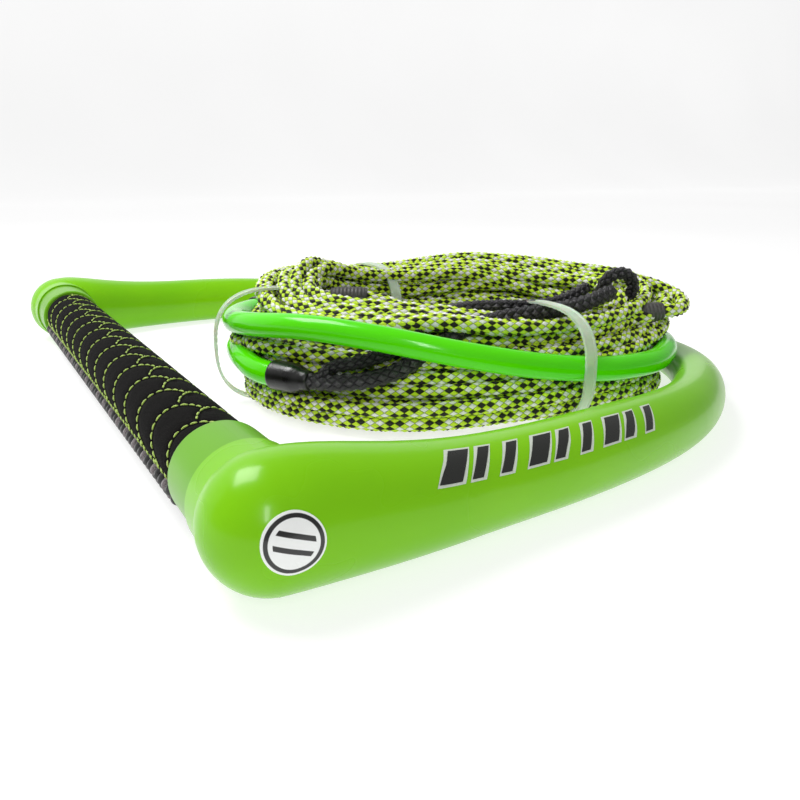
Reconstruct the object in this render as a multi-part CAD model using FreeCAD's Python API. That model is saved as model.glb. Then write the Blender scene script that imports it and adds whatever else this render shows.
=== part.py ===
"""Tow rope handle: a stitched grip bar between two moulded float arms, whose bridle tubes wrap a tied coil of rope.

Millimetres, +Z up. The handle lies on the floor plane Z = 0, its bar along Y and its arms leaving the bar along +X.
Routes and stations are written in the handle's own plan, with X = 0 and Y = 0 under the near end of the bar;
place() carries them into the part's frame, whose origin is the middle of the handle's base.
"""

import FreeCAD, Part
import math
import os

V = FreeCAD.Vector

# Where the near end of the bar stands in the part's frame.
NEAR_END_X = -128.1
NEAR_END_Y = -174.8

# Bar and grip.
BAR_SPAN = 344.5          # between the centres of the two float bulbs
BAR_HEIGHT = 18.2         # the bar's axis above the floor, and the bulbs' radius
BAR_TUBE_R = 11.1         # 7/8 inch aluminium tube
BAR_TUBE_WALL = 1.6
GRIP_SLEEVE_R = 12.5
GRIP_COVER_R = 13.6
GRIP_START = 38.3         # from the bulb's centre to the cover's end
SEAM_HEIGHT = 0.9         # how proud the laced seam stands of the cover
SEAM_ARC = 38.0           # degrees of the cover's girth that it takes
SEAM_AT = 205.0           # its middle, in degrees round the bar from +X towards +Z
SLIP = 0.3                # gap between end faces that turn past each other
RUNNING_GAP = 0.1         # radial gap of a cap in its bulb

# End caps, which hold the bar tube and turn in the bulbs.
CAP_R = 15.6
CAP_START = 8.0           # from the bulb's centre to the cap's inner face
CAP_END = 38.0
CAP_GRIP_R = 15.3
CAP_RIM_ROUND = 1.2
SKIRT_END = 16.5          # the bulb's skirt round the cap, from the bulb's centre
SKIRT_ROOT_R = 17.0
SKIRT_R = 16.4
CAP_FLOOR = 14.0          # from the bulb's centre to the bottom of the tube's seat
CAP_PLUG_END = 30.0
LINE_R = 3.0
LINE_GAP = 0.25
LINE_TURN_IN = 14.0       # from the bar's axis to where the line starts to turn into the bar
TOUCH_GAP = 0.1

# Bridle tubes and their sleeves.
TUBE_R = 5.1
HEAT_SHRINK_R = 6.1
HEAT_SHRINK_ON_TUBE = 11.0
HEAT_SHRINK_ON_LINE = 8.0

# Lead line and the loop at its end.
LEAD_R = 3.3
LEAD_TAIL_R = 2.6
FAR_LEG_R = 2.8
LEAD_LOOP_R = 7.5
LEAD_LOOP_CENTRE = (203.5, 84.0, 48.0)
LEAD_LOOP_AXIS = (0.35, 0.9, 0.2)

# Badge on the near float.
BADGE_R = 7.6
BADGE_THICK = 0.3
BADGE_FACING = (-1.2, -18.2, 2.35)

# Tow rope and its coil.
ROPE_R = 3.25
COIL_CENTRE = (147.0, 131.5)
COIL_TURN = -20.0         # the coil's long axis from +X
COIL_LONG = 104.0         # half lengths of the outer oval
COIL_WIDE = 75.0
COIL_BAND = 47.0          # the bundle's width
COIL_HEIGHT = 50.0
COIL_ROUND = 16.0
COIL_SLACK = 0.4          # how far the coil stands off a bridle tube that lies in it
LIES_IN_COIL = ("float_arm", "lead", "far_leg", "boat", "splice", "tie")

# Cable ties.
TIE_WIDE = 6.0
TIE_THICK = 1.3
TIE_HEAD = (5.5, 7.5, 9.0)
TIE_CORNER = 0.42         # of the strap's shorter side
TIES = {                  # angle on the oval, reach outside it, reach inside it, lowest and highest
    "right": (-73.0, 11.0, 49.0, 0.0, 49.0),
    "back": (114.0, 3.0, 49.0, 0.0, 52.0),
    "left": (188.0, 11.0, 49.0, 0.0, 51.0),
}

# Grey covers over the rope's splices: middle, direction, length.
SPLICE_COVER_R = 4.4
SPLICE_COVERS = {
    "left": ((86.0, 168.0, 51.5), (11.0, 19.0, 7.0), 24.0),
    "back": ((100.0, 151.0, 44.0), (0.86, -0.52, 0.0), 17.0),
    "right": ((213.0, 73.0, 38.0), (0.86, -0.5, 0.1), 13.0),
    "boat": ((122.0, 141.9, 4.6), (15.0, -6.0, -0.1), 18.0),
}

# Float arms: stations of (x, y, radius) along the middle of each arm, which lies on the floor.
NEAR_ARM = [
    (0.0, 0.0, 18.2), (12.0, -0.5, 18.0), (26.0, -1.0, 16.9), (44.0, -1.0, 15.4), (64.0, 0.0, 14.3),
    (90.0, 1.5, 13.8), (118.0, 4.5, 13.5), (146.0, 9.5, 12.8), (174.0, 18.5, 12.0), (203.0, 35.0, 11.0),
    (229.0, 57.5, 9.9), (249.0, 84.5, 8.8), (262.0, 114.0, 7.9), (267.0, 146.0, 7.3),
]
FAR_ARM = [
    (0.0, 0.0, 18.2), (12.0, 1.0, 17.9), (26.0, 3.5, 16.6), (44.0, 7.0, 15.2), (66.0, 9.5, 14.3),
    (92.0, 9.5, 14.0), (122.0, 6.0, 13.4), (152.0, -2.5, 12.4), (182.0, -16.5, 11.3), (209.0, -36.0, 10.1),
    (231.0, -61.0, 9.0), (246.0, -90.0, 8.0), (254.0, -120.0, 7.3),
]

# Routes of (x, y, z): each is walked as straight runs joined by tangent arcs.
ARC_SHARE = 0.45          # how much of the shorter run an arc takes
NEAR_TUBE = [
    (264.0, 128.2, 7.3), (266.0, 146.0, 7.0), (262.0, 174.0, 6.5), (248.0, 202.0, 7.0), (222.0, 221.0, 8.0),
    (188.0, 229.0, 9.5), (148.0, 229.0, 11.0), (108.0, 221.0, 14.0), (74.0, 203.0, 18.0), (53.0, 177.0, 21.5),
    (46.0, 150.0, 22.5), (45.5, 129.0, 20.5), (54.5, 111.0, 20.5),
]
FAR_TUBE = [
    (249.8, 242.3, 7.3), (255.0, 226.0, 8.5), (261.0, 203.0, 15.0), (261.0, 175.0, 19.5), (256.0, 144.0, 19.5),
    (249.0, 112.0, 20.0), (238.0, 85.0, 20.5), (220.0, 66.0, 21.5), (196.0, 52.0, 21.5), (163.0, 48.0, 23.5),
    (133.0, 53.0, 27.5), (104.0, 63.5, 33.5), (78.0, 82.0, 39.5), (58.0, 106.0, 42.0), (47.0, 134.0, 39.0),
    (47.0, 163.0, 35.5), (59.0, 188.0, 34.0), (80.0, 206.0, 33.0),
]
LEAD_LINE = [
    (54.5, 111.0, 20.5), (61.2, 97.6, 20.5), (71.5, 88.0, 22.0), (83.0, 81.5, 25.0), (96.0, 81.5, 30.0),
    (109.0, 83.0, 36.0), (124.0, 81.5, 41.0), (141.0, 77.0, 43.5), (159.0, 74.5, 43.8), (177.0, 73.5, 46.0),
    (192.0, 77.0, 48.5),
]
LEAD_TAIL = [
    (65.0, 98.5, 26.8), (73.5, 91.5, 28.6), (82.5, 86.5, 31.6), (90.5, 85.5, 35.0), (98.5, 86.3, 38.2),
]
FAR_LEG = [
    (80.0, 206.0, 33.0), (91.4, 215.8, 32.5), (106.0, 214.5, 32.5), (117.0, 203.0, 34.0), (122.0, 186.0, 35.0),
    (124.0, 167.0, 34.5), (124.0, 147.0, 34.0), (123.0, 128.0, 36.0), (124.0, 112.0, 40.5), (130.0, 98.5, 44.0),
    (140.0, 89.0, 45.2), (152.0, 84.0, 44.4), (165.0, 82.0, 45.4), (175.5, 82.5, 47.6), (184.0, 84.5, 50.0),
]
BOAT_LOOP = [
    (92.4, 159.9, 5.4), (105.0, 150.5, 4.8), (118.8, 143.0, 4.6), (134.7, 138.6, 3.9), (152.0, 139.3, 3.5),
    (168.1, 139.8, 3.4), (180.9, 134.6, 3.4), (185.5, 123.4, 3.4), (181.8, 113.0, 3.4), (171.0, 107.3, 3.4),
    (157.8, 111.6, 3.4), (145.6, 121.9, 3.5), (134.6, 131.7, 4.2),
]


def place(x, y, z=0.0):
    """A point of the handle's plan in the part's frame."""
    return V(x + NEAR_END_X, y + NEAR_END_Y, z)


def heading(stations, i):
    """The plan angle of a list of stations at one of them, in degrees."""
    a = stations[max(i - 1, 0)]
    b = stations[min(i + 1, len(stations) - 1)]
    return math.degrees(math.atan2(b[1] - a[1], b[0] - a[0]))


def tangent_route(points):
    """A wire of straight runs joined by arcs, each as large as its runs allow, and the smallest radius in it."""
    edges = []
    radii = []
    start = points[0]
    for before, corner, after in zip(points, points[1:], points[2:]):
        back = before - corner
        on = after - corner
        shorter = min(back.Length, on.Length)
        half_turn = (math.pi - back.getAngle(on)) / 2
        cut = ARC_SHARE * shorter
        radius = cut / math.tan(half_turn)
        radii.append(radius)
        first = corner + back.normalize() * cut
        last = corner + on.normalize() * cut
        to_middle = ((back + on).normalize()) * (radius / math.cos(half_turn) - radius)
        edges.append(Part.LineSegment(start, first).toShape())
        edges.append(Part.Arc(first, corner + to_middle, last).toShape())
        start = last
    edges.append(Part.LineSegment(start, points[-1]).toShape())
    return Part.Wire(edges), min(radii)


def tube_along(name, points, radius):
    """A round solid along a route. It prints its tightest arc, and its volume as a share of section times length."""
    wire, tightest = tangent_route(points)
    direction = points[1] - points[0]
    profile = Part.Wire(Part.makeCircle(radius, points[0], direction))
    solid = wire.makePipeShell([profile], True, False)
    share = solid.Volume / (math.pi * radius ** 2 * wire.Length)
    print(f"{name}: {wire.Length:.0f} mm long, tightest arc {tightest:.0f} mm, volume share {share:.3f}")
    return solid


def routed(route):
    return [place(*point) for point in route]


def float_blank(stations, bulb, inward, grow=0.0):
    """The outside of a float arm: round sections along its stations, a ball at the bar and a skirt inward."""
    rings = []
    for i, (x, y, radius) in enumerate(stations):
        ring = Part.Wire(Part.makeCircle(radius + grow, V(0, 0, 0), V(1, 0, 0)))
        turn = FreeCAD.Rotation(V(0, 0, 1), 0.0 if i == 0 else heading(stations, i))
        ring.Placement = FreeCAD.Placement(bulb + V(x, y, radius - BAR_HEIGHT), turn)
        rings.append(ring)
    half_ball = Part.makeSphere(BAR_HEIGHT + grow, bulb, V(-1, 0, 0), 0, 90, 360)
    skirt = Part.makeCone(SKIRT_ROOT_R, SKIRT_R, SKIRT_END, bulb, V(0, inward, 0))
    return Part.makeLoft(rings, True).fuse(half_ball).fuse(skirt)


def arm_line(stations, bulb):
    """The bridle line's way down one arm, from the tail to the bar's axis."""
    kept = [stations[i] for i in range(len(stations) - 3, 3, -2)]
    points = [bulb + V(x, y, radius - BAR_HEIGHT) for x, y, radius in kept]
    return points + [bulb + V(LINE_TURN_IN, 0, 0), bulb]


def bar_cylinder(radius, start, end):
    """A cylinder round the bar's axis, between two distances from the near bulb's centre."""
    return Part.makeCylinder(radius, end - start, place(0, start, BAR_HEIGHT), V(0, 1, 0))


def bar_ring(outer, inner, start, end):
    return bar_cylinder(outer, start, end).cut(bar_cylinder(inner, start - 1, end + 1))


def end_cap():
    """The near end cap: a collar that turns in the bulb, tapering to the grip, with a seat for the bar tube."""
    neck = Part.makeCone(CAP_R, CAP_GRIP_R, CAP_END - CAP_FLOOR, place(0, CAP_FLOOR, BAR_HEIGHT), V(0, 1, 0))
    rim = [e for e in neck.Edges if e.BoundBox.YLength < 0.1 and e.CenterOfMass.y > place(0, CAP_FLOOR + 1).y]
    cap = bar_cylinder(CAP_R, CAP_START, CAP_FLOOR).fuse(neck.makeFillet(CAP_RIM_ROUND, rim))
    seat = bar_ring(BAR_TUBE_R, BAR_TUBE_R - BAR_TUBE_WALL, CAP_FLOOR, CAP_END + 1)
    hollow = bar_cylinder(BAR_TUBE_R - BAR_TUBE_WALL, CAP_PLUG_END, CAP_END + 1)
    hole = bar_cylinder(LINE_R + LINE_GAP, CAP_START - 1, CAP_END + 1)
    return cap.cut(seat).cut(hollow).cut(hole).removeSplitter()


def grip_seam():
    """The laced seam: a raised strip along the cover, over a share of its girth."""
    skin = bar_ring(GRIP_COVER_R + SEAM_HEIGHT, GRIP_COVER_R, GRIP_START, BAR_SPAN - GRIP_START)
    reach = 2 * GRIP_COVER_R
    middle = place(0, 0, BAR_HEIGHT)
    corners = [middle]
    for side in (-1, 1):
        a = math.radians(SEAM_AT + side * SEAM_ARC / 2)
        corners.append(middle + V(reach * math.cos(a), 0, reach * math.sin(a)))
    wedge = Part.Face(Part.makePolygon(corners + [middle])).extrude(V(0, BAR_SPAN, 0))
    return skin.common(wedge)


def mirrored(shape):
    """The same piece at the far end of the bar."""
    return shape.mirror(place(0, BAR_SPAN / 2, 0), V(0, 1, 0))


def badge(bulb):
    """A thin round badge that follows the near float's bulb."""
    skin = float_blank(NEAR_ARM, bulb, 1, BADGE_THICK).cut(float_blank(NEAR_ARM, bulb, 1))
    return skin.common(Part.makeCylinder(BADGE_R, 2 * BAR_HEIGHT, bulb, V(*BADGE_FACING)))


def heat_shrink(tube_route, line_radius):
    """A black sleeve on the tube's last run, from the tube over its end onto the line that leaves it."""
    end = tube_route[-1]
    along = (end - tube_route[-2]).normalize()
    start = end - along * HEAT_SHRINK_ON_TUBE
    body = Part.makeCylinder(HEAT_SHRINK_R, HEAT_SHRINK_ON_TUBE + HEAT_SHRINK_ON_LINE, start, along)
    over_tube = Part.makeCylinder(TUBE_R + TOUCH_GAP, HEAT_SHRINK_ON_TUBE, start, along)
    over_line = Part.makeCylinder(line_radius + TOUCH_GAP, HEAT_SHRINK_ON_LINE, end, along)
    return body.cut(over_tube).cut(over_line), body


def coil_outline(inset):
    """A face inside an ellipse in the coil's plan, inset from its outer oval."""
    ellipse = Part.Ellipse(V(0, 0, 0), COIL_LONG - inset, COIL_WIDE - inset)
    return Part.Face(Part.Wire(ellipse.toShape()))


def coil_blank():
    """The tied coil's outer shape: an oval ring with rounded edges."""
    up = V(0, 0, COIL_HEIGHT)
    ring = coil_outline(0).extrude(up).cut(coil_outline(COIL_BAND).extrude(up))
    outer_edges = [e for e in ring.Edges if e.BoundBox.XLength > 1.5 * COIL_LONG]
    ring = ring.makeFillet(COIL_ROUND, outer_edges)
    ring.rotate(V(0, 0, 0), V(0, 0, 1), COIL_TURN)
    ring.translate(place(*COIL_CENTRE))
    return ring


def coil_point(angle, out):
    """A point of the coil's plan, at an angle on its oval and a distance outside it."""
    a = math.radians(angle)
    spot = V((COIL_LONG + out) * math.cos(a), (COIL_WIDE + out) * math.sin(a), 0)
    return place(*COIL_CENTRE) + FreeCAD.Rotation(V(0, 0, 1), COIL_TURN).multVec(spot)


def rounded_block(length, low, high, corner):
    """A block as wide as a tie, with its four cross edges rounded, standing in the XZ plane."""
    block = Part.makeBox(length, TIE_WIDE, high - low, V(-length / 2, -TIE_WIDE / 2, low))
    cross = [e for e in block.Edges if e.BoundBox.YLength > TIE_WIDE / 2]
    return block.makeFillet(corner, cross)


def tie(angle, outside, inside, low, high):
    """A strap round the bundle in an upright plane at an angle of the oval, and its head in the coil's hole."""
    inner = coil_point(angle, -inside)
    outer = coil_point(angle, outside)
    across = outer - inner
    corner = TIE_CORNER * min(across.Length, high - low)
    strap = rounded_block(across.Length, low, high, corner)
    hollow = rounded_block(across.Length - 2 * TIE_THICK, low + TIE_THICK, high - TIE_THICK, corner - TIE_THICK)
    strap = strap.cut(hollow)
    head_at = V(-across.Length / 2 - TIE_HEAD[0], -TIE_HEAD[1] / 2, (low + high - TIE_HEAD[2]) / 2)
    head = Part.makeBox(*TIE_HEAD, head_at)
    head = head.makeFillet(TIE_THICK / 2, head.Edges)
    for shape in (strap, head):
        shape.rotate(V(0, 0, 0), V(0, 0, 1), math.degrees(math.atan2(across.y, across.x)))
        shape.translate((inner + outer) / 2)
    return strap, head


def splice_cover(middle, along, length):
    """A grey sleeve where the mainline's end is buried in itself, round the rope's own course."""
    axis = V(*along).normalize()
    start = place(*middle) - axis * (length / 2)
    return Part.makeCylinder(SPLICE_COVER_R, length, start, axis)


def bridle(nodes):
    """The two float arms, the line through them and the bar, and the soft tubes behind them."""
    near_bulb = place(0, 0, BAR_HEIGHT)
    far_bulb = place(0, BAR_SPAN, BAR_HEIGHT)
    line_route = arm_line(NEAR_ARM, near_bulb) + arm_line(FAR_ARM, far_bulb)[::-1]
    line_bore = tube_along("line bore", line_route, LINE_R + LINE_GAP)
    nodes["bridle_line"] = tube_along("bridle_line", line_route, LINE_R)
    recess = bar_cylinder(CAP_R + RUNNING_GAP, CAP_START - SLIP, CAP_END)
    arms = {
        "near": (NEAR_ARM, near_bulb, 1, NEAR_TUBE, recess),
        "far": (FAR_ARM, far_bulb, -1, FAR_TUBE, mirrored(recess)),
    }
    for side, (stations, bulb, inward, route, socket) in arms.items():
        tube = tube_along(f"bridle_tube_{side}", routed(route), TUBE_R)
        tail_hole = tube_along("tail hole", routed(route)[:4], TUBE_R)
        nodes[f"bridle_tube_{side}"] = tube
        nodes[f"float_arm_{side}"] = float_blank(stations, bulb, inward).cut([socket, line_bore, tail_hole])
    nodes["badge"] = badge(near_bulb)


def bar(nodes):
    """The bar, which turns on the line: tube, caps, sleeve, cover and seam."""
    cover_ends = (GRIP_START, BAR_SPAN - GRIP_START)
    nodes["bar_tube"] = bar_ring(BAR_TUBE_R, BAR_TUBE_R - BAR_TUBE_WALL, CAP_FLOOR, BAR_SPAN - CAP_FLOOR)
    nodes["grip_sleeve"] = bar_ring(GRIP_SLEEVE_R, BAR_TUBE_R, *cover_ends)
    nodes["grip_cover"] = bar_ring(GRIP_COVER_R, GRIP_SLEEVE_R, *cover_ends)
    nodes["grip_seam"] = grip_seam()
    nodes["end_cap_near"] = end_cap()
    nodes["end_cap_far"] = mirrored(end_cap())


def tow_rope(nodes):
    """The lead and its loop, the tied coil with its boat-end loop, the splice covers and the cable ties."""
    lines = {
        "lead_line": (LEAD_LINE, LEAD_R),
        "lead_tail": (LEAD_TAIL, LEAD_TAIL_R),
        "far_leg": (FAR_LEG, FAR_LEG_R),
        "boat_loop": (BOAT_LOOP, ROPE_R),
    }
    for name, (route, radius) in lines.items():
        nodes[name] = tube_along(name, routed(route), radius)
    nodes["lead_loop"] = Part.makeTorus(LEAD_LOOP_R, FAR_LEG_R, place(*LEAD_LOOP_CENTRE), V(*LEAD_LOOP_AXIS))
    nodes["heat_shrink_near"], near_groove = heat_shrink(routed(NEAR_TUBE), LEAD_R)
    nodes["heat_shrink_far"], far_groove = heat_shrink(routed(FAR_TUBE), FAR_LEG_R)
    for name, spec in SPLICE_COVERS.items():
        nodes[f"splice_cover_{name}"] = splice_cover(*spec).cut(nodes["boat_loop"])
    for name, spec in TIES.items():
        nodes[f"tie_strap_{name}"], nodes[f"tie_head_{name}"] = tie(*spec)
    pressed_in = [shape for name, shape in nodes.items() if name.startswith(LIES_IN_COIL)]
    for side, route in (("near", NEAR_TUBE), ("far", FAR_TUBE)):
        pressed_in.append(tube_along(f"groove for bridle_tube_{side}", routed(route), TUBE_R + COIL_SLACK))
    coil = coil_blank().cut(pressed_in + [near_groove, far_groove])
    nodes["mainline_coil"] = max(coil.Solids, key=lambda solid: solid.Volume)


def main():
    os.makedirs("parts", exist_ok=True)
    nodes = {}
    bridle(nodes)
    bar(nodes)
    tow_rope(nodes)
    for name, shape in nodes.items():
        print(f"{name}: {len(shape.Solids)} solid, {shape.Volume / 1000:.1f} ml, valid {shape.isValid()}")
        shape.exportStep(f"parts/{name}.step")


main()
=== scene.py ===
"""Tow rope handle: the visual model, in the frame of the CAD model, in metres.

Routes are given in the plan that the CAD uses: millimetres from the bar's near end, x towards the arms' tips,
y along the bar.
"""

import bpy
import math
import random
import numpy as np
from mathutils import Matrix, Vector
from mathutils.bvhtree import BVHTree
from mathutils.kdtree import KDTree


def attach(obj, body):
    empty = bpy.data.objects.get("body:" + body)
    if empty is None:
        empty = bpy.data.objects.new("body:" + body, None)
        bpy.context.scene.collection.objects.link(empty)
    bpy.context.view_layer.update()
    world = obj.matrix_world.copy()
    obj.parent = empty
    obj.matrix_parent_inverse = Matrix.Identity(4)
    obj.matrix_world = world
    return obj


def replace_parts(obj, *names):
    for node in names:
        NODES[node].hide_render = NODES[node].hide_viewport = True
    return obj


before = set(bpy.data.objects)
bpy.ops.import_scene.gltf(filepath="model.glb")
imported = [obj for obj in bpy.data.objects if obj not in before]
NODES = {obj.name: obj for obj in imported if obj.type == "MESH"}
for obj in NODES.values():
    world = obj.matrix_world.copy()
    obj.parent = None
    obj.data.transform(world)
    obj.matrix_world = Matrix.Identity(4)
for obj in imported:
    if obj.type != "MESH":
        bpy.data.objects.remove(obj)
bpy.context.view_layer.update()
RNG = random.Random(7)

NEAR_END = Vector((-128.1, -174.8, 0))
BAR_SPAN, BAR_HEIGHT = 344.5, 18.2
GRIP_START, COVER_R = 38.3, 13.6
SEAM_AT, SEAM_ARC = 205.0, 38.0      # middle of the laced seam round the bar and its width, in degrees
TUBE_R, LEAD_R, LEAD_TAIL_R, FAR_LEG_R, ROPE_R = 5.1, 3.3, 2.6, 2.8, 3.25
COIL_CENTRE, COIL_TURN, COIL_LONG, COIL_WIDE, COIL_BAND = (147.0, 131.5), -20.0, 104.0, 75.0, 47.0


def place(x, y, z=0.0):
    """A plan point in millimetres, carried into the frame in metres."""
    return (Vector((x, y, z)) + NEAR_END) / 1000


# ---------------------------------------------------------------- camera and lamps


def camera():
    data = bpy.data.cameras.new("camera")
    data.lens, data.sensor_width, data.dof.use_dof = 33.74, 36, False
    data.clip_start, data.clip_end = 0.01, 20
    obj = bpy.data.objects.new("camera", data)
    obj.location = (-0.18655, -0.33379, 0.10075)
    obj.rotation_euler = (math.radians(72.839), 0, math.radians(-30.976))
    bpy.context.collection.objects.link(obj)
    bpy.context.scene.camera = obj


def softbox(name, spot, aim, size, power):
    """A rectangular lamp at a spot, turned to what it lights."""
    data = bpy.data.lights.new(name, "AREA")
    data.shape, data.energy = "RECTANGLE", power
    data.size, data.size_y = size
    obj = bpy.data.objects.new(name, data)
    obj.location = spot
    obj.rotation_euler = (Vector(aim) - Vector(spot)).to_track_quat("-Z", "Y").to_euler()
    bpy.context.collection.objects.link(obj)


camera()

# ---------------------------------------------------------------- routes

NEAR_ARM = [
    (0, 0, 18.2), (12, -0.5, 18), (26, -1, 16.9), (44, -1, 15.4), (64, 0, 14.3), (90, 1.5, 13.8),
    (118, 4.5, 13.5), (146, 9.5, 12.8), (174, 18.5, 12), (203, 35, 11), (229, 57.5, 9.9), (249, 84.5, 8.8),
    (262, 114, 7.9), (267, 146, 7.3),
]
FAR_ARM = [
    (0, 0, 18.2), (12, 1, 17.9), (26, 3.5, 16.6), (44, 7, 15.2), (66, 9.5, 14.3), (92, 9.5, 14),
    (122, 6, 13.4), (152, -2.5, 12.4), (182, -16.5, 11.3), (209, -36, 10.1), (231, -61, 9),
    (246, -90, 8), (254, -120, 7.3),
]
NEAR_TUBE = [
    (264, 128.2, 7.3), (266, 146, 7), (262, 174, 6.5), (248, 202, 7), (222, 221, 8), (188, 229, 9.5),
    (148, 229, 11), (108, 221, 14), (74, 203, 18), (53, 177, 21.5), (46, 150, 22.5), (45.5, 129, 20.5),
    (54.5, 111, 20.5),
]
FAR_TUBE = [
    (249.8, 242.3, 7.3), (255, 226, 8.5), (261, 203, 15), (261, 175, 19.5), (256, 144, 19.5), (249, 112, 20),
    (238, 85, 20.5), (220, 66, 21.5), (196, 52, 21.5), (163, 48, 23.5), (133, 53, 27.5), (104, 63.5, 33.5),
    (78, 82, 39.5), (58, 106, 42), (47, 134, 39), (47, 163, 35.5), (59, 188, 34), (80, 206, 33),
]
LEAD_LINE = [
    (54.5, 111, 20.5), (61.2, 97.6, 20.5), (71.5, 88, 22), (83, 81.5, 25), (96, 81.5, 30), (109, 83, 36),
    (124, 81.5, 41), (141, 77, 43.5), (159, 74.5, 43.8), (177, 73.5, 46), (192, 77, 48.5),
]
LEAD_TAIL_START = [(60.8, 99.8, 21.6), (62.4, 98.8, 24.6)]     # out of the sleeve's mouth, beside the lead
LEAD_TAIL = [(65, 98.5, 26.8), (73.5, 91.5, 28.6), (82.5, 86.5, 31.6), (90.5, 85.5, 35), (98.5, 86.3, 38.2)]
FAR_LEG = [
    (80, 206, 33), (91.4, 215.8, 32.5), (106, 214.5, 32.5), (117, 203, 34), (122, 186, 35), (124, 167, 34.5),
    (124, 147, 34), (123, 128, 36), (124, 112, 40.5), (130, 98.5, 44), (140, 89, 45.2), (152, 84, 44.4),
    (165, 82, 45.4), (175.5, 82.5, 47.6), (184, 84.5, 50),
]
BOAT_LOOP = [
    (92.4, 159.9, 5.4), (105, 150.5, 4.8), (118.8, 143, 4.6), (134.7, 138.6, 3.9), (152, 139.3, 3.5),
    (168.1, 139.8, 3.4), (180.9, 134.6, 3.4), (185.5, 123.4, 3.4), (181.8, 113, 3.4), (171, 107.3, 3.4),
    (157.8, 111.6, 3.4), (145.6, 121.9, 3.5), (134.6, 131.7, 4.2),
]
LEAD_LOOP = ((203.5, 84, 48), (0.35, 0.9, 0.2), 7.5)     # middle, axis and radius
SPLICE_COVERS = {     # middle, direction and length
    "left": ((86, 168, 51.5), (11, 19, 7), 24),
    "back": ((100, 151, 44), (0.86, -0.52, 0), 17),
    "right": ((213, 73, 38), (0.86, -0.5, 0.1), 13),
    "boat": ((122, 141.9, 4.6), (15, -6, -0.1), 18),
}
TIES = {     # angle of the oval, how far outside and inside it the strap reaches, height
    "right": (-73, 9.5, 47.5, 48.0), "back": (114, 2.5, 47.5, 53.5), "left": (188, 9.5, 47.5, 51.0),
}


def spline_points(points, closed=False):
    """The points of the NURBS spline that has the given control points, in order."""
    curve = bpy.data.curves.new("route", "CURVE")
    curve.dimensions = "3D"
    spline = curve.splines.new("NURBS")
    spline.points.add(len(points) - 1)
    spline.points.foreach_set("co", [c for p in points for c in (*p, 1)])
    spline.order_u = 3
    spline.use_endpoint_u = not closed
    spline.use_cyclic_u = closed
    spline.resolution_u = 8
    holder = bpy.data.objects.new("route", curve)
    mesh = bpy.data.meshes.new_from_object(holder)
    read = np.empty(len(mesh.vertices) * 3)
    mesh.vertices.foreach_get("co", read)
    bpy.data.objects.remove(holder)
    bpy.data.curves.remove(curve)
    bpy.data.meshes.remove(mesh)
    read = read.reshape(-1, 3)
    return np.vstack([read, read[:1]]) if closed else read


def even_line(points, step, closed=False):
    """A route's spline, as points at an even step along it, and its length."""
    read = spline_points(points, closed)
    along = np.concatenate([[0], np.cumsum(np.linalg.norm(np.diff(read, axis=0), axis=1))])
    count = max(4, round(along[-1] / step))
    at = np.linspace(0, along[-1], count + 1)
    return np.column_stack([np.interp(at, along, read[:, k]) for k in range(3)]), along[-1]


def unit(rows):
    return rows / np.linalg.norm(rows, axis=-1, keepdims=True)


def carried_frame(line):
    """Tangents of a line and two square directions that are carried along it without twist."""
    tangent = unit(np.gradient(line, axis=0))
    side = np.empty_like(line)
    start = np.cross(tangent[0], (0, 0, 1))
    side[0] = start if np.linalg.norm(start) > 0.1 else (1, 0, 0)
    for i in range(len(line)):
        s = side[max(i - 1, 0)]
        s = s - tangent[i] * np.dot(s, tangent[i])
        side[i] = s / np.linalg.norm(s)
    return tangent, side, np.cross(tangent, side)


def routed(route):
    return [place(*p) for p in route]


# ---------------------------------------------------------------- the coiled mainline

ROWS = [(6, 2), (7, 0), (7, 0), (7, 0), (6, 2.5), (6, 4), (5, 7), (4, 11)]   # turns in each layer, outer inset
LAYER = 5.75              # from one layer's middle to the next
ABREAST = 6.65            # from one turn to the next in a layer
SLACK = 0.15              # between the rope and what it lies on
POINTS_A_TURN = 26
OBSTACLE_STEP = 3.0
TURN_START = -62.0
COIL_MIDDLE = 25.0        # height that the section rolls about
COIL_ROLL = 13            # degrees
# the oval is higher at the back, and bulges where the hand left the turns loose: (angle, millimetres)
HEIGHT_AT = [(-180, 52), (-150, 47), (-100, 45), (-73, 43.5), (-45, 43), (-15, 46), (15, 49), (45, 54), (75, 57),
             (105, 52), (125, 52), (150, 56), (180, 52)]
BULGES = [     # height, spread in height, and how far out at each angle
    (3, 13, [(-180, 2), (-165, 4), (-148, 8), (-130, 13), (-115, 17), (-100, 12), (-88, 4), (-60, 0), (180, 0)]),
    (30, 8, [(-180, 10), (-160, 10), (-140, 6), (-115, 3), (-90, 0), (150, 4), (180, 10)]),
    (40, 10, [(-180, 0), (-50, 0), (-30, 5), (-10, 15), (12, 17), (34, 9), (60, 0), (180, 0)]),
]
EYE_START = [
    (180, 82, 29), (188, 74, 34), (196, 73, 41), (203.5, 84, 48), (208, 94, 50.5), (217, 101, 51), (230, 103, 49),
    (242, 97, 45.5), (246, 86, 42), (240, 75.5, 39.5), (229, 69, 38.5), (218.6, 69.7, 38.6), (207.4, 76.3, 37.4),
    (193, 79, 37),
]
LEFT_END = [(72, 150, 45), (79, 157, 48.5), (86, 168, 51.5), (92, 179, 55), (103, 184, 55), (117, 181, 50),
            (131, 178, 45)]
BACK_END = [(76, 166, 42), (87, 158.5, 43.5), (100, 151, 44), (113, 143, 42.5), (122, 134, 37), (128, 122, 31)]


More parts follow.
